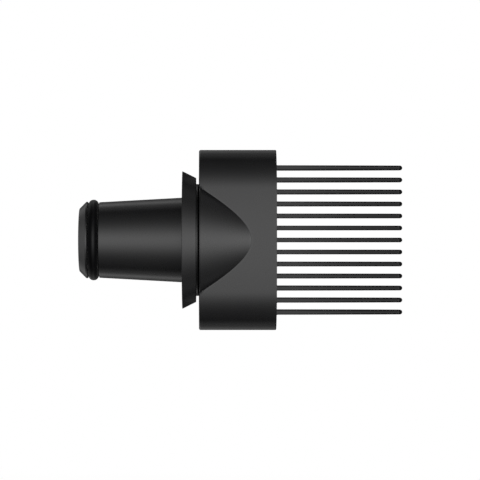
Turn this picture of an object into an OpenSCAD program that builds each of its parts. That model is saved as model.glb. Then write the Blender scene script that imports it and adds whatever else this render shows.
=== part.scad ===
// Comb nozzle for a hot air styler. All lengths are millimetres.
// The air path runs along +X: the spigot's open end is at x = 0 and the teeth point to +X.
// Y is the thin way through the head and Z is its width.

/* [Spigot] */
// Length of the spigot from its open end to the collar
spigot_l = 30.7; // [26:0.1:36]
// Outside diameter of the spigot where it meets the collar
spigot_root_d = 25.3; // [24.6:0.1:27]
// Outside diameter of the spigot just behind the seal groove
spigot_tip_d = 22.5; // [22:0.1:24]
// Outside diameter of the lip in front of the seal groove
lip_d = 22.8; // [22:0.1:23.2]
// Width of the lip's flat
lip_w = 0.15; // [0.1:0.05:0.4]
// Length of the sloped nose, which leads the spigot into its socket
nose_l = 2.05; // [1.5:0.05:2.2]
// Diameter of the round bore at the air inlet
inlet_d = 16; // [14:0.1:16.6]
// Length of the straight stretch of the inlet bore
inlet_l = 6.6; // [6.2:0.1:9]
// Wall of the spigot's tube and of the flange behind the collar
tube_wall = 2; // [1.6:0.1:2.4]

/* [Seal] */
// Inside diameter of the seal ring
seal_d = 18.72; // [18.2:0.02:19]
// Thickness of the seal ring's round section
seal_t = 2.62; // [2.4:0.02:2.7]
// Width of the seal groove
groove_w = 3.4; // [3.1:0.05:3.6]
// Gap between the ring and the groove's floor
seal_gap = 0.03; // [0.02:0.01:0.1]

/* [Collar and neck] */
// Diameter of the collar's sharp rim, the same as the handle's
collar_d = 40.9; // [39:0.1:44]
// Length of the collar along the axis
collar_l = 4.15; // [3.4:0.05:5]
// Diameter of the collar's narrow end
collar_end_d = 36.9; // [35.6:0.1:38]
// Diameter of the neck between collar and head
neck_d = 33.3; // [32:0.1:34.6]
// Visible length of the neck
neck_l = 0.95; // [0.6:0.05:1.5]
// Rounding between the collar and the neck
neck_fillet = 0.5; // [0.2:0.05:0.55]
// Outside diameter of the tongue that plugs into the head
tongue_d = 30.4; // [29:0.1:31]
// Length of the tongue
tongue_l = 3; // [2.4:0.1:4]
// Wall of the tongue
tongue_wall = 1.8; // [1.4:0.1:2.2]
// Gap all round between the tongue and the head's throat
tongue_gap = 0.05; // [0.03:0.01:0.15]
// Room between the tongue's end and the end of the throat
tongue_room = 0.2; // [0.1:0.05:0.5]

/* [Head] */
// Width of the oval head
head_w = 54; // [52:0.1:60]
// Thickness of the oval head at its middle
head_t = 21.1; // [20.4:0.1:24]
// Length of the head along the axis
head_l = 23; // [20:0.1:28]
// Radius of the head's narrow edges
edge_r = 4.8; // [4:0.1:6]
// Radius of the shoulders between the edges and the broad faces
shoulder_r = 13.2; // [10:0.1:18]
// Radius of the broad faces, which are slightly crowned
crown_r = 85; // [70:1:120]
// Diameter of the inlet cone where it leaves the head's flat end
cone_d = 37; // [36:0.1:38]
// Slope angle of the inlet cone
cone_angle = 26.8; // [22:0.1:30]
// Wall of the head's shell
shell_wall = 2; // [1.6:0.1:2.4]
// Wall of the shell's rim around the comb's frame
rim_wall = 0.9; // [0.7:0.05:1.2]

/* [Comb] */
// Thickness of the comb's frame, which closes the head's open end
frame_t = 2; // [1.6:0.1:3]
// Gap all round between the frame and the shell
frame_gap = 0.05; // [0.03:0.01:0.15]
// Depth of the skirt that locates the frame inside the shell
skirt_l = 3; // [2:0.1:4]
// Wall of the skirt
skirt_wall = 1.2; // [1:0.1:1.6]
// Number of teeth
teeth = 13; // [9:2:15]
// Distance between two teeth
tooth_pitch = 3.6; // [3.2:0.05:3.7]
// Length of a tooth beyond the head
tooth_l = 37.9; // [30:0.1:44]
// Thickness of a tooth
tooth_t = 1.32; // [1.1:0.02:1.6]
// Depth of a tooth at the head, across the air slot
tooth_root_t = 9; // [8:0.1:10]
// Depth of a tooth near its tip
tooth_tip_t = 2.4; // [1.8:0.1:4]
// Length over which the tip is rounded
tip_l = 2; // [1.2:0.1:3]
// Width of the air slot that the teeth stand across
slot_w = 6.4; // [5:0.1:7]
// Clear width of the air slot beyond the outer teeth
slot_end = 1.6; // [1:0.1:1.8]

/* [Hidden] */
$fn = 128;
overlap = 0.5;

// Places along the axis
collar_x = spigot_l;
neck_x = collar_x + collar_l;
head_x = neck_x + neck_l;
mouth_x = head_x + head_l;
frame_x = mouth_x - frame_t;

// Radii of the spigot
lip_r = lip_d / 2;
nose_r = lip_r - nose_l;
tip_r = spigot_tip_d / 2;
root_r = spigot_root_d / 2;
inlet_r = inlet_d / 2;
neck_r = neck_d / 2;
tongue_r = tongue_d / 2;
tongue_in_r = tongue_r - tongue_wall;

// The seal ring and its groove
groove_x = nose_l + lip_w;
groove_end_x = groove_x + groove_w;
groove_r = seal_d / 2 - seal_gap;
seal_x = groove_x + groove_w / 2;

// The duct inside the spigot follows the outside at one wall, from the inlet bore to the flange
flange_x = collar_x + tube_wall;
duct_slope = (root_r - tip_r) / (collar_x - groove_end_x);
duct_end_r = root_r - tube_wall;
duct_r = duct_end_r - duct_slope * (collar_x - inlet_l);

// The inlet cone of the head, outside and inside
cone_slope = tan(cone_angle);
cone_end_x = head_x + (cone_d / 2 - head_t / 2 + overlap) / cone_slope;
throat_r = tongue_r + tongue_gap;
cone_wall = shell_wall / cos(cone_angle);

// The oval: a crown arc, a shoulder arc and an edge arc meet without a corner in each quarter
edge_c = [head_w / 2 - edge_r, 0];
crown_c = [0, head_t / 2 - crown_r];
reach = norm(edge_c - crown_c);
to_edge = (edge_c - crown_c) / reach;
along = ((crown_r - shoulder_r) ^ 2 - (shoulder_r - edge_r) ^ 2 + reach ^ 2) / (2 * reach);
aside = sqrt((crown_r - shoulder_r) ^ 2 - along ^ 2);
shoulder_c = crown_c + along * to_edge + aside * [-to_edge.y, to_edge.x];
edge_dir = (edge_c - shoulder_c) / (shoulder_r - edge_r);
crown_dir = (shoulder_c - crown_c) / (crown_r - shoulder_r);

// Turns a shape made along +Z to lie along +X, and moves it to its place on the axis
module on_axis(x = 0) {
    translate([x, 0, 0]) rotate([0, 90, 0]) children();
}

// A strip of the plane from x0 to x1
module strip(x0, x1) {
    translate([x0, -head_w / 2]) square([x1 - x0, head_w]);
}

// Two equal circles crossing in a lens, one above and one below the middle line
module lens(centre, r) {
    intersection() {
        translate([centre.x, centre.y]) circle(r);
        translate([centre.x, -centre.y]) circle(r);
    }
}

// The head's oval, moved inwards by inset
module oval(inset = 0) {
    crown_to = crown_dir.x * (crown_r - inset);
    shoulder_to = shoulder_c.x + edge_dir.x * (shoulder_r - inset);
    intersection() {
        lens(crown_c, crown_r - inset);
        strip(-crown_to, crown_to);
    }
    for (side = [0, 1]) mirror([side, 0]) {
        intersection() {
            lens(shoulder_c, shoulder_r - inset);
            strip(crown_to - overlap, shoulder_to);
        }
        translate(edge_c) circle(edge_r - inset);
    }
}

// Points of a round corner about a centre, from one angle to another
function corner(centre, r, from, to, steps = 6) =
    [for (i = [0 : steps]) let (a = from + (to - from) * i / steps) centre + r * [cos(a), sin(a)]];

// Outline of the spigot, collar and neck, turned about the axis: radius first, place second
module spigot_section() {
    polygon(concat(
        [
            [inlet_r, 0],
            [nose_r, 0],
            [lip_r, nose_l],
            [lip_r, groove_x],
            [groove_r, groove_x],
            [groove_r, groove_end_x],
            [tip_r, groove_end_x],
            [root_r, collar_x],
            [collar_d / 2, collar_x],
            [collar_end_d / 2, neck_x]
        ],
        corner([neck_r + neck_fillet, neck_x + neck_fillet], neck_fillet, 270, 180),
        [
            [neck_r, head_x],
            [tongue_r, head_x],
            [tongue_r, head_x + tongue_l],
            [tongue_in_r, head_x + tongue_l],
            [tongue_in_r, flange_x],
            [duct_end_r, flange_x],
            [duct_end_r, collar_x],
            [duct_r, inlet_l + duct_r - inlet_r],
            [inlet_r, inlet_l]
        ]
    ));
}

// One moulding: the tapered tube with its seal groove, the flared collar, the neck and the tongue
module spigot() {
    color("#222224") on_axis() rotate_extrude() spigot_section();
}

// A round rubber ring in the spigot's groove
module seal_ring() {
    color("#0e0e0f") on_axis(seal_x) rotate_extrude() translate([(seal_d + seal_t) / 2, 0]) circle(d = seal_t);
}

// One moulding: an oval shell with the round inlet cone blended into its broad faces
module head_shell() {
    color("#202022") difference() {
        union() {
            on_axis(head_x) linear_extrude(head_l) oval();
            on_axis(head_x) inlet_cone(cone_d / 2, cone_end_x - head_x);
        }
        on_axis(head_x - overlap) cylinder(r = throat_r, h = overlap + tongue_l + tongue_room);
        on_axis(head_x + shell_wall) linear_extrude(head_l) oval(shell_wall);
        on_axis(head_x + shell_wall) inlet_cone(cone_d / 2 - shell_wall * cone_slope - cone_wall,
                                                cone_end_x - head_x - shell_wall);
        on_axis(frame_x) linear_extrude(head_l) oval(rim_wall);
    }
}

// A cone that narrows by the head's own slope over its length
module inlet_cone(r, length) {
    cylinder(r1 = r, r2 = r - length * cone_slope, h = length);
}

// Half depth of a tooth at a height above its root
function tooth_depth(h, full) = let (
    line = (tooth_root_t + (tooth_tip_t - tooth_root_t) * h / full) / 2,
    past = max(0, h - (full - tip_l))
) line * sqrt(max(0, 1 - (past / tip_l) ^ 2));

// Half thickness of a tooth at a height above its root
function tooth_half(h, full) = let (past = max(0, h - (full - tooth_t / 2)))
    sqrt(max(0, (tooth_t / 2) ^ 2 - past ^ 2));

// One tooth: an oval section that narrows towards a rounded tip
module tooth(full) {
    sides = 16;
    rounds = 5;
    heights = [0, for (i = [0 : rounds - 1]) full - tip_l + tip_l * sin(90 * i / rounds)];
    rings = [for (h = heights, i = [0 : sides - 1]) let (a = 360 * i / sides)
        [tooth_half(h, full) * cos(a), tooth_depth(h, full) * sin(a), h]];
    last = len(heights) - 1;
    polyhedron(
        points = concat(rings, [[0, 0, full]]),
        faces = concat(
            [[for (i = [0 : sides - 1]) i]],
            [for (k = [0 : last - 1], i = [0 : sides - 1]) let (j = (i + 1) % sides)
                [k * sides + i, (k + 1) * sides + i, (k + 1) * sides + j]],
            [for (k = [0 : last - 1], i = [0 : sides - 1]) let (j = (i + 1) % sides)
                [k * sides + i, (k + 1) * sides + j, k * sides + j]],
            [for (i = [0 : sides - 1]) [last * sides + i, len(rings), last * sides + (i + 1) % sides]]
        )
    );
}

// One moulding: the frame with its air slot, the skirt behind it and the teeth across the slot
module comb() {
    span = (teeth - 1) * tooth_pitch;
    slot_l = span + tooth_t + 2 * slot_end;
    color("#1d1d1f") {
        on_axis(frame_x) linear_extrude(frame_t) difference() {
            oval(rim_wall + frame_gap);
            square([slot_l - slot_w, slot_w], center = true);
            for (side = [-1, 1]) translate([side * (slot_l - slot_w) / 2, 0]) circle(d = slot_w);
        }
        on_axis(frame_x - skirt_l) linear_extrude(skirt_l) difference() {
            oval(shell_wall + frame_gap);
            oval(shell_wall + frame_gap + skirt_wall);
        }
        for (i = [0 : teeth - 1]) translate([0, 0, i * tooth_pitch - span / 2])
            on_axis(frame_x) tooth(frame_t + tooth_l);
    }
}

spigot();
seal_ring();
head_shell();
comb();
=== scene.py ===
"""Comb nozzle for a hot air styler: its finished pieces, built around the solid model."""

import math

import bmesh
import bpy
from bpy.props import FloatProperty, FloatVectorProperty, IntProperty, PointerProperty
from bpy.types import Operator, Panel, PropertyGroup
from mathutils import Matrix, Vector


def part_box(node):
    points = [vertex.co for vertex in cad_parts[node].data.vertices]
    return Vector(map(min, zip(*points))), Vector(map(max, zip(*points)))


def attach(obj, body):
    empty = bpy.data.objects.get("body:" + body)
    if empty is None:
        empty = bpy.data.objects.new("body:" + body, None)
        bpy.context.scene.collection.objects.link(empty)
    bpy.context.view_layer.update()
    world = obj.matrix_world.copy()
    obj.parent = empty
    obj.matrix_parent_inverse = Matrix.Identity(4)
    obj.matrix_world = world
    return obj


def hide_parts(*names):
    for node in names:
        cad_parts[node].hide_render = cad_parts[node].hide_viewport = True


bl_info = {
    "name": "Comb Nozzle",
    "version": (1, 0, 0),
    "blender": (4, 5, 0),
    "location": "3D View > Sidebar > Comb Nozzle",
    "description": "Builds a moulded comb nozzle: spigot, seal ring, head shell and comb",
    "category": "Add Mesh",
}

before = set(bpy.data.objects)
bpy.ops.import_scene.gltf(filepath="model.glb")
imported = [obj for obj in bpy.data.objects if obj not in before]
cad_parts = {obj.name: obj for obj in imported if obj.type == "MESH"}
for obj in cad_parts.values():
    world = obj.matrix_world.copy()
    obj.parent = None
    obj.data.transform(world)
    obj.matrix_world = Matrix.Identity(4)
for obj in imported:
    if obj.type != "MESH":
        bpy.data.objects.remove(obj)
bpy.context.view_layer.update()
SPIGOT_LOW, SPIGOT_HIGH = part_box("spigot")
HEAD_LOW, HEAD_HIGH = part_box("head_shell")
COMB_LOW, COMB_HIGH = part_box("comb")

MM = 0.001

# Points closer than this are one place
NEAR = 0.001 * MM

# Steps of a rounded corner, steps once round a turned piece, and steps round the seal's section
ARC_STEPS = 5
TURN_STEPS = 192
SEAL_STEPS = 48

# Steps on the edge, the shoulder and the crown of a quarter of the oval
OVAL_STEPS = (12, 22, 28)

# Rows of points up to the line where the cone runs out, over that line, and on to the mouth
HEAD_ROWS = (5, 19, 12)

# Points round a tooth, and rows of them on its foot, along it, and round its end
TOOTH_SIDES = 40
TOOTH_ROWS = (7, 8, 15)

# Angle between two faces past which the edge between them is shaded sharp
SHARP = math.radians(40)

# Flat that is kept on both sides of a rounded corner, so that it shades as a flat
HOLD = 0.12 * MM

# Rounding of corners that are only eased, and least distance between two rows of points
EASED = 0.1 * MM

# Distance from a rounded corner to the next row of points, and least length of a wall inside
CLEAR = 0.15 * MM
INNER_STEP = 0.5 * MM

# Each soft light of the studio: turn from the camera's side, lift, half width and half height in
# degrees, strength, and, where a screen cuts it off, how far that is to the right of its middle
SOFT_LIGHTS = (
    # The large one in front, a narrow one left of the camera, and a small one far right
    (30, 0, 75, 32, 2.15, 50),
    (-14, 0, 14, 36, 1.2),
    (70, 0, 11, 16, 3.0),
    # One at the left side, which lights the nose
    (-95, 0, 25, 30, 1.2),
    # Three behind, which light the narrow edges
    (195, 50, 17, 9, 1.0),
    (215, 30, 22, 12, 0.65),
    (180, 72, 35, 9, 0.3),
)

# How sharply a soft light ends at its screen, and at a quarter turn from its middle
CUT = 10


def linear(colour):
    """Turns an sRGB hex colour into linear red, green, blue and alpha"""
    parts = [int(colour[i : i + 2], 16) / 255 for i in (1, 3, 5)]
    return [c / 12.92 if c <= 0.04045 else ((c + 0.055) / 1.055) ** 2.4 for c in parts] + [1.0]


def length(name, description, millimetres):
    """A length that the user can change, with its default given in millimetres"""
    return FloatProperty(
        name=name, description=description, default=millimetres * MM, unit="LENGTH", precision=5
    )


def colour(name, description, default):
    """A colour that the user can change, with its default given as sRGB hex"""
    return FloatVectorProperty(
        name=name,
        description=description,
        default=linear(default),
        size=4,
        min=0,
        max=1,
        subtype="COLOR",
    )


class SpigotSizes(PropertyGroup):
    """Sizes of the tapered spigot, its collar and its neck"""

    tube_length: length("Tube Length", "From the open end to the collar", 30.8)
    inlet_radius: length("Inlet Radius", "Radius of the straight inlet bore", 8)
    inlet_length: length("Inlet Length", "Length of the straight inlet bore", 6.6)
    nose_length: length("Nose Length", "Length of the sloped nose", 2.05)
    lip_radius: length("Lip Radius", "Radius of the lip in front of the seal", 11.45)
    groove_start: length("Groove Start", "Place where the seal's groove begins", 2.55)
    groove_width: length("Groove Width", "Width of the seal's groove", 3.35)
    groove_radius: length("Groove Radius", "Radius of the groove's floor", 9.12)
    seal_radius: length("Seal Radius", "Radius of the seal ring's crest", 12.1)
    seal_thickness: length("Seal Thickness", "Thickness of the ring's round section", 3.12)
    tip_radius: length("Tip Radius", "Radius of the tube behind the groove", 11.33)
    root_radius: length("Root Radius", "Radius of the tube at the collar", 12.7)
    tube_wall: length("Tube Wall", "Wall of the tube and of the flange", 2)
    collar_length: length("Collar Length", "Length of the collar along the axis", 4.15)
    collar_radius: length("Collar Radius", "Radius of the collar's sharp rim", 20.65)
    collar_end_radius: length("Collar End Radius", "Radius of the collar's narrow end", 18.6)
    neck_radius: length("Neck Radius", "Radius of the neck behind the collar", 16.78)
    neck_fillet: length("Neck Fillet", "Rounding between the collar and the neck", 0.15)
    parting_width: length("Parting Width", "Width of the slit between the neck and the head", 0.45)
    parting_depth: length("Parting Depth", "Depth of that slit on the broad faces", 2.3)
    tongue_radius: length("Tongue Radius", "Radius of the tongue inside the head", 15.2)
    tongue_wall: length("Tongue Wall", "Wall of the tongue", 1.8)
    inlet_round: length("Inlet Rounding", "Rounding of the inlet's mouth", 0.35)
    nose_round: length("Nose Rounding", "Rounding at the front of the nose", 0.5)
    lip_round: length("Lip Rounding", "Rounding between the nose and the lip", 0.08)
    brink_round: length("Brink Rounding", "Rounding of the lip's edge at the groove", 0.06)
    groove_round: length("Groove Rounding", "Rounding of the groove's floor", 0.2)
    tip_round: length("Tip Rounding", "Rounding of the tube's edge at the groove", 0.25)
    root_round: length("Root Rounding", "Rounding between the tube and the collar", 0.15)
    collar_round: length("Collar Rounding", "Rounding of the collar's edges", 0.12)
    slit_drop: length("Slit Drop", "How far the slit's floor lies below the neck at the sides", 0.03)
    slit_round: length("Slit Rounding", "Rounding of the neck's edge at the slit", 0.04)
    seat_round: length("Seat Rounding", "Rounding at the foot of the tongue", 0.05)
    tongue_round: length("Tongue Rounding", "Rounding of the tongue's end", 0.15)
    flange_round: length("Flange Rounding", "Rounding inside the flange", 0.3)
    duct_round: length("Duct Rounding", "Rounding of the duct's inner corners", 0.4)
    film_shift: length("Film Shift", "How far the grease lies behind the ring's crest", 0.28)
    film_width: length("Film Width", "Half width of the grease on the ring", 0.54)


class HeadSizes(PropertyGroup):
    """Sizes of the oval head and its inlet cone"""

    length: length("Length", "Length of the head along the axis", 23.15)
    thickness: length("Thickness", "Thickness of the oval at its middle", 21.1)
    edge_radius: length("Edge Radius", "Radius of the narrow edges", 4.2)
    shoulder_radius: length("Shoulder Radius", "Radius between the edges and the broad faces", 14)
    crown_radius: length("Crown Radius", "Radius of the broad faces", 140)
    cone_angle: FloatProperty(
        name="Cone Angle",
        description="Slope of the inlet cone",
        default=math.radians(27.1),
        subtype="ANGLE",
    )
    back_round: length("Back Rounding", "Rounding of the corner round the flat back", 0.5)
    cone_round: length("Cone Rounding", "Rounding of the corner at the cone's base", 0.34)
    mouth_round: length("Mouth Rounding", "Rounding of the outer corner round the mouth", 0.3)
    blend: length("Blend", "Height of the soft line where the cone runs out on the oval", 0.12)
    sink_depth: length("Sink Depth", "Depth of the faint hollow beside that line", 0.045)
    sink_width: length("Sink Width", "Half width of the faint hollow", 0.26)
    sink_shift: length("Sink Shift", "How far the hollow lies in front of that line", 0.1)
    corner_rise: length("Corner Rise", "Height of the cone above the oval at its full rounding", 1.5)
    wall: length("Wall", "Wall of the shell", 2)
    rim_wall: length("Rim Wall", "Wall of the shell round the comb's frame", 0.9)
    throat_radius: length("Throat Radius", "Radius of the throat that holds the tongue", 15.25)
    throat_length: length("Throat Length", "Depth of the throat", 3.2)


class CombSizes(PropertyGroup):
    """Sizes of the comb's frame and teeth"""

    frame_thickness: length("Frame Thickness", "Thickness of the frame in the head's mouth", 2)
    gap: length("Gap", "Gap all round between the comb and the shell", 0.05)
    skirt_wall: length("Skirt Wall", "Wall of the skirt behind the frame", 1.2)
    slot_length: length("Slot Length", "Length of the air slot", 47.72)
    slot_width: length("Slot Width", "Width of the air slot", 6.4)
    teeth: IntProperty(name="Teeth", description="Number of teeth", default=13, min=1)
    pitch: length("Pitch", "Distance between two teeth", 3.6)
    tooth_thickness: length("Tooth Thickness", "Thickness of a tooth", 1.4)
    root_depth: length("Root Depth", "Depth of a tooth at the frame", 9)
    tip_depth: length("Tip Depth", "Depth of a tooth near its tip", 3.0)
    bow: FloatProperty(
        name="Bow", description="How far the teeth's fronts bow outwards", default=1.7, min=1
    )
    tip_length: length("Tip Length", "Length over which a tooth ends", 2.2)
    tip_edge: length("Tip Edge", "Half the depth of a tooth at its very end", 0.08)
    tip_slope: FloatProperty(
        name="Tip Slope",
        description="Slope of a tooth's bevelled end",
        default=math.radians(57),
        subtype="ANGLE",
    )
    tip_blend: length("Tip Blend", "Softness of the line where the bevel begins", 0.75)
    cap: length("Cap", "Height of the roundings along a tooth's front", 0.12)
    ridge: length("Ridge", "Height of the faint ridge of a tooth's front near its tip", 0.25)
    ridge_start: length("Ridge Start", "Length of a tooth before the ridge begins", 8)
    ridge_bow: FloatProperty(
        name="Ridge Bow",
        description="How the ridge grows: 1 is evenly, and less is sooner",
        default=0.6,
        min=0.1,
    )
    tip_reach: length("Tip Reach", "How far the tips reach past the solid teeth", 0.07)
    root_inset: length("Root Inset", "From the frame's back to where a tooth begins inside it", 0.3)
    root_flare: length("Root Flare", "Rounding between a tooth and the frame", 0.14)
    rim_round: length("Rim Rounding", "Rounding of the frame's outer edge", 0.12)
    slot_round: length("Slot Rounding", "Rounding of the air slot's edge", 0.25)
    skirt_round: length("Skirt Rounding", "Rounding of the skirt's end", 0.2)
    skirt_step: length("Skirt Step", "Least step from the air slot out to the skirt", 0.15)


class Finish(PropertyGroup):
    """Colours of the mouldings, the seal and the floor"""

    nylon: colour("Nylon", "Black of the spigot and the head", "#0e0e0f")
    comb_nylon: colour("Comb Nylon", "Black of the comb", "#0f0f10")
    rubber: colour("Rubber", "Black of the seal ring", "#070708")
    floor: colour("Floor", "White of the floor", "#f2f2f2")


class StageSettings(PropertyGroup):
    """Sizes of the camera's view and the floor, and the strength of the dim walls"""

    camera_distance: length("Camera Distance", "From the camera to the nozzle's axis", 750)
    view_width: length("View Width", "Width that the camera sees at the axis", 144)
    view_middle: length("View Middle", "Place on the axis at the middle of the view", 48.1)
    floor_drop: length("Floor Drop", "From the axis down to the floor", 150)
    floor_size: length("Floor Size", "Width of the floor", 4000)
    shadow_reach: length("Shadow Reach", "Distance out to which the floor takes a full shadow", 350)
    white_reach: length("White Reach", "Distance past which the floor is plain white", 900)
    floor_lift: FloatProperty(
        name="Floor Lift", description="White added to the floor for the camera", default=0.45, min=0
    )
    view_shift: FloatProperty(
        name="View Shift", description="Shift of the view, as a share of its width", default=0.058
    )
    dim_walls: FloatProperty(
        name="Dim Walls", description="Strength of the walls between the lights", default=0.01, min=0
    )


def node(tree, kind, inputs=(), **settings):
    """Adds a shader node with its settings, and gives its inputs their links or values"""
    made = tree.nodes.new(kind)
    for name, value in settings.items():
        if hasattr(made, name):
            setattr(made, name, value)
        else:
            made.inputs[name.replace("_", " ")].default_value = value
    for name, source in inputs:
        if isinstance(source, bpy.types.NodeSocket):
            tree.links.new(source, made.inputs[name])
        else:
            made.inputs[name].default_value = source
    return made


def new_material(name):
    """An empty material and its node tree"""
    material = bpy.data.materials.new(name)
    material.use_nodes = True
    tree = material.node_tree
    tree.nodes.clear()
    return material, tree


def moulded_nylon(name, pigment, roughness, grain, shine=0.5):
    """Black nylon from a lightly eroded mould"""
    # The eye gets an even satin grey shine. The real grain is about 0.05 mm wide and is drawn about
    # twice as coarse, so that it just shows. The melt's flow varies black and shine over 9 mm.
    material, tree = new_material(name)
    place = node(tree, "ShaderNodeTexCoord").outputs["Object"]
    grains = node(
        tree, "ShaderNodeTexNoise", [("Vector", place)], Scale=1 / grain, Detail=2, Roughness=0.6
    )
    flow = node(
        tree, "ShaderNodeTexNoise", [("Vector", place)], Scale=1 / (9 * MM), Detail=3, Roughness=0.55
    )
    shade = node(
        tree,
        "ShaderNodeMapRange",
        [("Value", flow.outputs["Fac"])],
        From_Min=0.3,
        From_Max=0.7,
        To_Min=0.88,
        To_Max=1.12,
    )
    tint = node(
        tree,
        "ShaderNodeVectorMath",
        [(0, pigment[:3]), ("Scale", shade.outputs["Result"])],
        operation="SCALE",
    )
    satin = node(
        tree,
        "ShaderNodeMapRange",
        [("Value", flow.outputs["Fac"])],
        From_Min=0.3,
        From_Max=0.7,
        To_Min=roughness - 0.012,
        To_Max=roughness + 0.012,
    )
    bump = node(
        tree, "ShaderNodeBump", [("Height", grains.outputs["Fac"])], Strength=0.12, Distance=0.02 * MM
    )
    shader = node(
        tree,
        "ShaderNodeBsdfPrincipled",
        [
            ("Base Color", tint.outputs["Vector"]),
            ("Roughness", satin.outputs["Result"]),
            ("Normal", bump.outputs["Normal"]),
        ],
        IOR=1.5,
        Specular_IOR_Level=shine,
    )
    node(tree, "ShaderNodeOutputMaterial", [("Surface", shader.outputs["BSDF"])])
    return material


def nitrile_rubber(name, pigment, roughness, crest, band, film_weight=0.32):
    """Moulded nitrile rubber, greased on its crest"""
    # The eye gets a deep matt black with a faint grey bloom where it turns away, in spots of about
    # 1.5 mm, and a narrow soft shine along the film of grease on the crest.
    material, tree = new_material(name)
    place = node(tree, "ShaderNodeTexCoord").outputs["Object"]
    along = node(tree, "ShaderNodeSeparateXYZ", [("Vector", place)]).outputs["X"]
    past = node(tree, "ShaderNodeMath", [(0, along), (1, crest)], operation="SUBTRACT")
    aside = node(tree, "ShaderNodeMath", [(0, past.outputs[0])], operation="ABSOLUTE")
    film = node(
        tree,
        "ShaderNodeMapRange",
        [("Value", aside.outputs[0])],
        interpolation_type="SMOOTHSTEP",
        From_Min=0.1 * band,
        From_Max=band,
        To_Min=film_weight,
        To_Max=0,
    )
    bloom = node(
        tree, "ShaderNodeTexNoise", [("Vector", place)], Scale=1 / (1.5 * MM), Detail=4, Roughness=0.6
    )
    satin = node(
        tree,
        "ShaderNodeMapRange",
        [("Value", bloom.outputs["Fac"])],
        From_Min=0.3,
        From_Max=0.7,
        To_Min=roughness - 0.03,
        To_Max=roughness + 0.03,
    )
    bump = node(
        tree, "ShaderNodeBump", [("Height", bloom.outputs["Fac"])], Strength=0.1, Distance=0.02 * MM
    )
    shader = node(
        tree,
        "ShaderNodeBsdfPrincipled",
        [
            ("Roughness", satin.outputs["Result"]),
            ("Normal", bump.outputs["Normal"]),
            ("Coat Weight", film.outputs["Result"]),
            ("Coat Normal", bump.outputs["Normal"]),
        ],
        Base_Color=pigment,
        IOR=1.5,
        Specular_IOR_Level=0.04,
        Coat_IOR=1.5,
        Coat_Roughness=0.26,
        Sheen_Weight=0.2,
        Sheen_Roughness=0.3,
    )
    node(tree, "ShaderNodeOutputMaterial", [("Surface", shader.outputs["BSDF"])])
    return material


def seen_by(tree, first, *others):
    """A socket that is 1 for rays of the named kinds, and 0 for all the rest"""
    rays = node(tree, "ShaderNodeLightPath").outputs
    seen = rays[first]
    for other in others:
        either = [(0, seen), (1, rays[other])]
        seen = node(tree, "ShaderNodeMath", either, operation="MAXIMUM").outputs[0]
    return seen


def white_floor(name, paint, near, far, lift):
    """Matt white background paper"""
    # The eye gets an even white without shine. The camera, mirrors and glass see it a little
    # lifted, with the nozzle's soft shadow near it, and plain white further off.
    material, tree = new_material(name)
    place = node(tree, "ShaderNodeTexCoord").outputs["Object"]
    away = node(tree, "ShaderNodeVectorMath", [(0, place)], operation="LENGTH")
    fade = node(
        tree,
        "ShaderNodeMapRange",
        [("Value", away.outputs["Value"])],
        interpolation_type="SMOOTHSTEP",
        From_Min=near,
        From_Max=far,
    )
    paper = node(tree, "ShaderNodeBsdfDiffuse", Color=paint)
    glow = node(tree, "ShaderNodeEmission", Strength=lift)
    lit = node(tree, "ShaderNodeAddShader", [(0, paper.outputs[0]), (1, glow.outputs[0])])
    plain = node(tree, "ShaderNodeEmission", Strength=1.0)
    shown = node(
        tree, "ShaderNodeMixShader", [(0, fade.outputs[0]), (1, lit.outputs[0]), (2, plain.outputs[0])]
    )
    seen = seen_by(tree, "Is Camera Ray", "Is Transmission Ray", "Is Glossy Ray")
    mixed = node(tree, "ShaderNodeMixShader", [(0, seen), (1, paper.outputs[0]), (2, shown.outputs[0])])
    node(tree, "ShaderNodeOutputMaterial", [("Surface", mixed.outputs[0])])
    return material


def spread(start, end, count):
    """Evenly spaced values from start to end, both included"""
    return [start + (end - start) * i / (count - 1) for i in range(count)]


def rounded(outline):
    """Points of a closed outline of (along, out, radius): a corner with a radius becomes an arc"""
    corners = [Vector((along, out)) for along, out, _ in outline]
    points = []
    for i, (corner, (_, _, radius)) in enumerate(zip(corners, outline)):
        if not radius:
            points.append(corner)
            continue
        back = corners[i - 1] - corner
        ahead = corners[(i + 1) % len(corners)] - corner
        half = back.angle(ahead) / 2
        reach = radius / math.tan(half)
        centre = (back.normalized() + ahead.normalized()).normalized() * radius / math.sin(half)
        start = back.normalized() * reach - centre
        end = ahead.normalized() * reach - centre
        before, after = (min(HOLD, side.length / 8) + reach for side in (back, ahead))
        points.append(corner + back.normalized() * before)
        turns = (start.slerp(end, k / ARC_STEPS) for k in range(ARC_STEPS + 1))
        points += [corner + centre + turn * radius for turn in turns]
        points.append(corner + ahead.normalized() * after)
    return points


def turned(points):
    """A bmesh made by turning a closed outline about the X axis"""
    shape = bmesh.new()
    section = [shape.verts.new((along, 0, out)) for along, out in points]
    edges = [shape.edges.new((section[i - 1], section[i])) for i in range(len(section))]
    bmesh.ops.spin(
        shape,
        geom=section + edges,
        cent=(0, 0, 0),
        axis=(1, 0, 0),
        angle=math.tau,
        steps=TURN_STEPS,
        use_merge=True,
    )
    return shape


def lofted(shape, rings, closed=False):
    """Wraps a grid through rings of points, and back to the first ring if it is closed"""
    columns = len(rings[0])
    rows = len(rings) if closed else len(rings) - 1
    grid = bmesh.ops.create_grid(shape, x_segments=columns, y_segments=rows, size=1)["verts"]
    for vertex in grid:
        column = round((vertex.co.x + 1) / 2 * columns) % columns
        row = round((vertex.co.y + 1) / 2 * rows) % len(rings)
        vertex.co = rings[row][column]
    bmesh.ops.remove_doubles(shape, verts=grid, dist=NEAR / 2)


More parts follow.
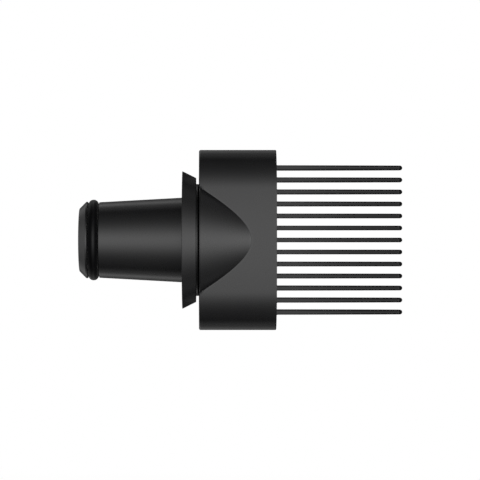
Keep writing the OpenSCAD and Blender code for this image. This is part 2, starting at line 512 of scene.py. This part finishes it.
def swept(turns, section):
    """A bmesh whose closed section, given for each direction from the axis, runs once round it"""
    columns = [section(turn) for turn in turns]
    rings = [
        [
            Vector((along, out * math.sin(turn), out * math.cos(turn)))
            for (along, out), turn in zip(row, turns)
        ]
        for row in zip(*columns)
    ]
    shape = bmesh.new()
    lofted(shape, rings, closed=True)
    return shape


def as_mesh(name, shape):
    """Turns a bmesh into a mesh with its faces outwards"""
    bmesh.ops.recalc_face_normals(shape, faces=shape.faces)
    mesh = bpy.data.meshes.new(name)
    shape.to_mesh(mesh)
    shape.free()
    return mesh


def finished_piece(name, mesh, material, slot, *nodes):
    """Makes a mesh a smooth piece on the body, in the place of its solid nodes"""
    mesh.shade_smooth()
    mesh.set_sharp_from_angle(angle=SHARP)
    mesh.materials.append(material)
    piece = bpy.data.objects.new(name, mesh)
    bpy.context.scene.collection.objects.link(piece)
    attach(piece, "root")
    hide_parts(*nodes)


class Oval:
    """The head's oval: in each quarter an edge arc, a shoulder arc and a crown arc"""

    def __init__(self, sizes):
        edge, shoulder, crown = sizes.edge_radius, sizes.shoulder_radius, sizes.crown_radius
        edge_centre = Vector((HEAD_HIGH.z - edge, 0))
        crown_centre = Vector((0, sizes.thickness / 2 - crown))
        apart = edge_centre - crown_centre
        far, near = crown - shoulder, shoulder - edge
        along = (far**2 - near**2 + apart.length_squared) / (2 * apart.length)
        aside = math.sqrt(far**2 - along**2)
        unit = apart.normalized()
        shoulder_centre = crown_centre + unit * along + Vector((-unit.y, unit.x)) * aside
        to_edge = edge_centre - shoulder_centre
        to_shoulder = shoulder_centre - crown_centre
        joins = [0, *(math.atan2(arm.y, arm.x) for arm in (to_edge, to_shoulder)), math.pi / 2]
        centres = (edge_centre, shoulder_centre, crown_centre)
        self.arcs = list(zip(centres, (edge, shoulder, crown), joins, joins[1:]))

    def reach(self, turn, inset=0):
        """How far the oval, moved inwards by an inset, reaches from the axis in a direction"""
        ray = Vector((abs(math.cos(turn)), abs(math.sin(turn))))
        for centre, radius, _, end in self.arcs:
            along = ray.dot(centre)
            out = along + math.sqrt(max((radius - inset) ** 2 - centre.length_squared + along**2, 0))
            arm = ray * out - centre
            if math.atan2(arm.y, arm.x) <= end:
                break
        return out

    def turns(self):
        """Directions to evenly spaced points on each arc, once round the oval"""
        quarter = []
        for (centre, radius, start, end), count in zip(self.arcs, OVAL_STEPS):
            for turn in spread(start, end, count + 1)[:-1]:
                point = centre + radius * Vector((math.cos(turn), math.sin(turn)))
                quarter.append(math.atan2(point.y, point.x))
        half = quarter + [math.pi - turn for turn in [math.pi / 2] + quarter[:0:-1]]
        return half + [turn + math.pi for turn in half]


def soft_maximum(a, b, blend):
    """The larger of two values, raised a little where they are nearly the same"""
    return max(a, b) + max(blend - abs(a - b), 0) ** 2 / (4 * blend)


class NOZZLE_OT_spigot(Operator):
    """Turns the tapered spigot with its seal groove, flared collar, neck and tongue"""

    bl_idname = "nozzle.spigot"
    bl_label = "Spigot"

    def execute(self, context):
        s = context.scene.spigot_sizes
        collar = s.tube_length
        neck = collar + s.collar_length
        head = HEAD_LOW.x
        flange = collar + s.tube_wall
        groove_end = s.groove_start + s.groove_width
        slope = (s.root_radius - s.tip_radius) / (collar - groove_end)
        duct_end = s.root_radius - s.tube_wall
        duct = duct_end - slope * (collar - s.inlet_length)
        tongue_bore = s.tongue_radius - s.tongue_wall
        slit_floor = s.neck_radius - s.slit_drop
        # Each corner's place along the axis, its distance from the axis, and its rounding
        outline = [
            (0, s.inlet_radius, s.inlet_round),
            (0, s.lip_radius - s.nose_length, s.nose_round),
            (s.nose_length, s.lip_radius, s.lip_round),
            (s.groove_start, s.lip_radius, s.brink_round),
            (s.groove_start, s.groove_radius, s.groove_round),
            (groove_end, s.groove_radius, s.groove_round),
            (groove_end, s.tip_radius, s.tip_round),
            (collar, s.root_radius, s.root_round),
            (collar, s.collar_radius, s.collar_round),
            (neck, s.collar_end_radius, s.collar_round),
            (neck, s.neck_radius, s.neck_fillet),
            (head - s.parting_width, s.neck_radius, s.slit_round),
            (head, slit_floor, 0),
            (head, s.tongue_radius, s.seat_round),
            (SPIGOT_HIGH.x, s.tongue_radius, s.tongue_round),
            (SPIGOT_HIGH.x, tongue_bore, s.tongue_round),
            (flange, tongue_bore, s.duct_round),
            (flange, duct_end, s.flange_round),
            (collar, duct_end, s.flange_round),
            (s.inlet_length + duct - s.inlet_radius, duct, s.duct_round),
            (s.inlet_length, s.inlet_radius, s.duct_round),
        ]
        black = context.scene.finish.nylon
        material = moulded_nylon("Moulded nylon", black, roughness=0.27, grain=0.12 * MM)
        shape = turned(rounded(outline))
        # The slit's floor goes down on the broad faces, and stays as it is at the sides
        for vertex in shape.verts:
            out = math.hypot(vertex.co.y, vertex.co.z)
            if abs(vertex.co.x - head) < NEAR and abs(out - slit_floor) < NEAR:
                vertex.co.y *= 1 - s.parting_depth / slit_floor
        mesh = as_mesh("spigot_moulding", shape)
        finished_piece("spigot_moulding", mesh, material, "moulded_plastic", "spigot")
        return {"FINISHED"}


class NOZZLE_OT_seal(Operator):
    """Turns the rubber ring that lies in the spigot's groove"""

    bl_idname = "nozzle.seal"
    bl_label = "Seal Ring"

    def execute(self, context):
        s = context.scene.spigot_sizes
        thick = s.seal_thickness / 2
        middle = Vector((s.groove_start + s.groove_width / 2, s.seal_radius - thick))
        turns = spread(0, math.tau, SEAL_STEPS + 1)[:-1]
        section = [middle + thick * Vector((math.cos(turn), math.sin(turn))) for turn in turns]
        black = context.scene.finish.rubber
        crest = middle.x + s.film_shift
        material = nitrile_rubber("Nitrile rubber", black, 0.42, crest, band=s.film_width)
        mesh = as_mesh("rubber_seal", turned(section))
        finished_piece("rubber_seal", mesh, material, "seal_rubber", "seal_ring")
        return {"FINISHED"}


class NOZZLE_OT_head(Operator):
    """Draws the oval head shell with the inlet cone that runs out on its broad faces"""

    bl_idname = "nozzle.head"
    bl_label = "Head Shell"

    def execute(self, context):
        s = context.scene.head_sizes
        oval = Oval(s)
        start, end = HEAD_LOW.x, HEAD_LOW.x + s.length
        ledge = end - context.scene.comb_sizes.frame_thickness
        slope = math.tan(s.cone_angle)
        soft = s.blend / slope + 2 * s.sink_width
        hollow = start + s.wall
        first = start + s.back_round + CLEAR
        inner_cone = HEAD_HIGH.y - s.wall * slope - s.wall / math.cos(s.cone_angle)
        before, over, after = HEAD_ROWS

        def section(turn):
            flat, rebate, wall = (oval.reach(turn, inset) for inset in (0, s.rim_wall, s.wall))
            run_out = max(start + (HEAD_HIGH.y - flat) / slope, first + EASED + soft)
            inner_end = hollow + (inner_cone - wall) / slope
            back = hollow if wall > s.throat_radius else start + s.throat_length
            places = (
                spread(first, run_out - soft, before)[:-1]
                + spread(run_out - soft, run_out + soft, over)
                + spread(run_out + soft, end - s.mouth_round - EASED, after)[1:]
            )

            def outer(along):
                cone = HEAD_HIGH.y - (along - start) * slope
                past = along - start - (HEAD_HIGH.y - flat) / slope - s.sink_shift
                sink = s.sink_depth * math.exp(-((past / s.sink_width) ** 2))
                return soft_maximum(flat, cone, s.blend) - sink

            on_cone = min(max((HEAD_HIGH.y - flat) / s.corner_rise, 0), 1)
            corner = s.back_round + (s.cone_round - s.back_round) * on_cone
            return rounded(
                [
                    (start, outer(start), corner),
                    *((along, outer(along), 0) for along in places),
                    (end, flat, s.mouth_round),
                    (end, rebate, EASED),
                    (ledge, rebate, 0),
                    (ledge, wall, 0),
                    (max(inner_end, back + INNER_STEP), wall, 0),
                    (back, max(wall, inner_cone - (back - hollow) * slope), 0),
                    (back, s.throat_radius, 0),
                    (start, s.throat_radius, EASED),
                ]
            )

        black = context.scene.finish.nylon
        material = moulded_nylon("Moulded nylon head", black, roughness=0.27, grain=0.12 * MM)
        mesh = as_mesh("head_moulding", swept(oval.turns(), section))
        finished_piece("head_moulding", mesh, material, "moulded_plastic", "head_shell")
        return {"FINISHED"}


def comb_frame(head_sizes, s):
    """The comb's frame in the head's mouth, with its air slot and the skirt behind it"""
    oval = Oval(head_sizes)
    end = HEAD_LOW.x + head_sizes.length
    ledge = end - s.frame_thickness
    half_slot = s.slot_width / 2
    straight = s.slot_length / 2 - half_slot
    skirt = head_sizes.wall + s.gap

    def slot(turn):
        wide, thick = abs(math.cos(turn)), abs(math.sin(turn))
        if thick * straight >= half_slot * wide:
            return half_slot / thick
        return straight * wide + math.sqrt(half_slot**2 - (straight * thick) ** 2)

    def section(turn):
        rim = oval.reach(turn, head_sizes.rim_wall + s.gap)
        skirt_out = oval.reach(turn, skirt)
        skirt_in = max(oval.reach(turn, skirt + s.skirt_wall), slot(turn) + s.skirt_step)
        return rounded(
            [
                (end, rim, s.rim_round),
                (ledge, rim, 0),
                (ledge, skirt_out, 0),
                (COMB_LOW.x, skirt_out, s.skirt_round),
                (COMB_LOW.x, skirt_in, s.skirt_round),
                (ledge, skirt_in, 0),
                (ledge, slot(turn), EASED),
                (end, slot(turn), s.slot_round),
            ]
        )

    return swept(oval.turns(), section)


def tooth_rings(s, face, across):
    """Rings of one tooth: a flat bar that gets shallower towards its bevelled, rounded end"""
    root = face - s.frame_thickness
    tip = COMB_HIGH.x + s.tip_reach
    full = tip - root
    half = s.tooth_thickness / 2
    shank = full - s.tip_length
    flare_rise = 3 * s.root_flare
    flare_top = s.frame_thickness + flare_rise
    foot, along, end = TOOTH_ROWS
    heights = (
        [s.root_inset]
        + spread(s.frame_thickness, flare_top, foot)
        + spread(flare_top, shank, along)[1:]
        + [shank + s.tip_length * math.sin(turn) for turn in spread(0, math.pi / 2, end)[1:-1]]
    )
    turns = [math.tau * (i + 0.5) / TOOTH_SIDES for i in range(TOOTH_SIDES)]
    rings = [[Vector((root + s.root_inset, 0, across))] * TOOTH_SIDES]
    for height in heights:
        line = (s.root_depth + (s.tip_depth - s.root_depth) * (height / full) ** s.bow) / 2
        flare = s.root_flare * min(max(1 - (height - s.frame_thickness) / flare_rise, 0), 1) ** 2
        bevel = s.tip_edge + (full - height) * math.tan(s.tip_slope)
        depth = -soft_maximum(-line, -bevel, s.tip_blend) + flare
        thick = math.sqrt(max(half**2 - max(height - full + half, 0) ** 2, 0)) + flare
        cap = min(s.cap, depth)
        grown = max((height - s.ridge_start) / (full - s.ridge_start), 0) ** s.ridge_bow
        ridge = min(s.ridge * grown, depth - cap)
        ring = []
        for turn in turns:
            flat = depth - cap - ridge * abs(math.cos(turn))
            out = math.copysign(flat, math.sin(turn)) + cap * math.sin(turn)
            ring.append(Vector((root + height, out, across + thick * math.cos(turn))))
        rings.append(ring)
    rings.append([Vector((tip, 0, across))] * TOOTH_SIDES)
    return rings


def joined(name, mesh, other):
    """One mesh of two that reach into each other"""
    base, tool = (bpy.data.objects.new(name, part) for part in (mesh, other))
    for part in (base, tool):
        bpy.context.scene.collection.objects.link(part)
    union = base.modifiers.new("Union", "BOOLEAN")
    union.operation, union.solver, union.object = "UNION", "EXACT", tool
    evaluated = base.evaluated_get(bpy.context.evaluated_depsgraph_get())
    result = bpy.data.meshes.new_from_object(evaluated)
    for part in (base, tool):
        bpy.data.objects.remove(part)
    result.name = name
    return result


class NOZZLE_OT_comb(Operator):
    """Draws the comb: its frame with the air slot and skirt, and the row of flat teeth"""

    bl_idname = "nozzle.comb"
    bl_label = "Comb"

    def execute(self, context):
        s = context.scene.comb_sizes
        head_sizes = context.scene.head_sizes
        face = HEAD_LOW.x + head_sizes.length
        base = as_mesh("comb_frame", comb_frame(head_sizes, s))
        shape = bmesh.new()
        for i in range(s.teeth):
            lofted(shape, tooth_rings(s, face, (i - (s.teeth - 1) / 2) * s.pitch))
        teeth = as_mesh("comb_teeth", shape)
        black = context.scene.finish.comb_nylon
        material = moulded_nylon(
            "Moulded nylon comb", black, roughness=0.27, grain=0.1 * MM, shine=0.32
        )
        mesh = joined("comb_moulding", base, teeth)
        finished_piece("comb_moulding", mesh, material, "comb_plastic", "comb")
        return {"FINISHED"}


def soft_light(tree, direction, so_far, turn, lift, width, height, strength, screen=None):
    """Adds one soft light in the studio's walls, which fades from its middle outwards"""
    half_width, half_height = (math.sin(math.radians(half)) for half in (width, height))
    local = node(
        tree,
        "ShaderNodeMapping",
        [("Vector", direction)],
        vector_type="TEXTURE",
        Rotation=(math.radians(-lift), 0, math.radians(turn)),
        Scale=(half_width, 1, half_height),
    ).outputs[0]
    # The light falls to 1 / e at its half width and half height
    flat = [(0, local), (1, (1, 0, 1))]
    aside = node(tree, "ShaderNodeVectorMath", flat, operation="MULTIPLY").outputs[0]
    twice = [(0, aside), (1, aside)]
    square = node(tree, "ShaderNodeVectorMath", twice, operation="DOT_PRODUCT").outputs["Value"]
    patch = node(tree, "ShaderNodeMath", [(0, 1 / math.e), (1, square)], operation="POWER").outputs[0]
    place = node(tree, "ShaderNodeSeparateXYZ", [("Vector", local)]).outputs
    cuts = [(place["Y"], 0)]
    if screen:
        cuts.append((place["X"], CUT * math.sin(math.radians(screen)) / half_width))
    for across, edge in cuts:
        free = node(
            tree,
            "ShaderNodeMath",
            [(0, across), (1, -CUT), (2, edge)],
            operation="MULTIPLY_ADD",
            use_clamp=True,
        ).outputs[0]
        patch = node(tree, "ShaderNodeMath", [(0, patch), (1, free)], operation="MULTIPLY").outputs[0]
    inputs = [(0, patch), (1, strength), (2, so_far)]
    return node(tree, "ShaderNodeMath", inputs, operation="MULTIPLY_ADD").outputs[0]


def studio_world(dim):
    """A dim studio with soft lights in its walls, the same above and below the nozzle's level"""
    # The camera, also through glass, sees plain white. All other rays see the studio, mirrored ones
    # too, because the dark bands on the black nylon need its dim walls.
    world = bpy.data.worlds.new("Studio")
    bpy.context.scene.world = world
    world.use_nodes = True
    tree = world.node_tree
    tree.nodes.clear()
    direction = node(tree, "ShaderNodeTexCoord").outputs["Generated"]
    parts = node(tree, "ShaderNodeSeparateXYZ", [("Vector", direction)]).outputs
    height = node(tree, "ShaderNodeMath", [(0, parts["Z"])], operation="ABSOLUTE")
    mirrored = node(
        tree, "ShaderNodeCombineXYZ", [("X", parts["X"]), ("Y", parts["Y"]), ("Z", height.outputs[0])]
    )
    light = dim
    for soft in SOFT_LIGHTS:
        light = soft_light(tree, mirrored.outputs[0], light, *soft)
    seen = seen_by(tree, "Is Camera Ray", "Is Transmission Ray")
    level = node(tree, "ShaderNodeMix", [("Factor", seen), ("A", light)], B=1.0)
    white = (1, 1, 1, 1)
    background = node(tree, "ShaderNodeBackground", [("Strength", level.outputs[0])], Color=white)
    node(tree, "ShaderNodeOutputWorld", [("Surface", background.outputs["Background"])])


class NOZZLE_OT_stage(Operator):
    """Sets the camera, the dim studio with its soft lights, and the white floor"""

    bl_idname = "nozzle.stage"
    bl_label = "Stage"

    def execute(self, context):
        s = context.scene.stage_settings
        lens = bpy.data.cameras.new("Camera")
        lens.sensor_width = 36
        lens.lens = lens.sensor_width * s.camera_distance / s.view_width
        lens.shift_x = s.view_shift
        camera = bpy.data.objects.new("Camera", lens)
        context.scene.collection.objects.link(camera)
        camera.location = (s.view_middle - lens.shift_x * s.view_width, -s.camera_distance, 0)
        camera.rotation_euler = (math.pi / 2, 0, 0)
        context.scene.camera = camera

        studio_world(s.dim_walls)

        shape = bmesh.new()
        bmesh.ops.create_grid(shape, x_segments=8, y_segments=8, size=s.floor_size / 2)
        bmesh.ops.translate(shape, verts=shape.verts, vec=(s.view_middle, 0, -s.floor_drop))
        floor = bpy.data.objects.new("Floor", as_mesh("Floor", shape))
        white = context.scene.finish.floor
        paper = white_floor("White paper", white, s.shadow_reach, s.white_reach, s.floor_lift)
        floor.data.materials.append(paper)
        context.scene.collection.objects.link(floor)
        # The lights below the floor still reach the nozzle, and it mirrors them and not the floor
        floor.visible_glossy = False
        floor.visible_shadow = False
        context.scene.view_settings.view_transform = "Standard"
        return {"FINISHED"}


OPERATORS = (NOZZLE_OT_stage, NOZZLE_OT_spigot, NOZZLE_OT_seal, NOZZLE_OT_head, NOZZLE_OT_comb)


class NOZZLE_PT_panel(Panel):
    """Lists the operators that build the nozzle"""

    bl_idname = "NOZZLE_PT_panel"
    bl_label = "Comb Nozzle"
    bl_space_type = "VIEW_3D"
    bl_region_type = "UI"
    bl_category = "Comb Nozzle"

    def draw(self, context):
        for operator in OPERATORS:
            self.layout.operator(operator.bl_idname)


GROUPS = {
    "spigot_sizes": SpigotSizes,
    "head_sizes": HeadSizes,
    "comb_sizes": CombSizes,
    "finish": Finish,
    "stage_settings": StageSettings,
}


def register():
    """Registers the sizes, the operators and the panel"""
    for kind in (*GROUPS.values(), *OPERATORS, NOZZLE_PT_panel):
        bpy.utils.register_class(kind)
    for name, group in GROUPS.items():
        setattr(bpy.types.Scene, name, PointerProperty(type=group))


def unregister():
    """Takes back what register added"""
    for name in GROUPS:
        delattr(bpy.types.Scene, name)
    for kind in reversed((*GROUPS.values(), *OPERATORS, NOZZLE_PT_panel)):
        bpy.utils.unregister_class(kind)


def main():
    """Builds the whole nozzle on its stage"""
    register()
    bpy.ops.nozzle.stage()
    bpy.ops.nozzle.spigot()
    bpy.ops.nozzle.seal()
    bpy.ops.nozzle.head()
    bpy.ops.nozzle.comb()


if __name__ == "__main__":
    main()
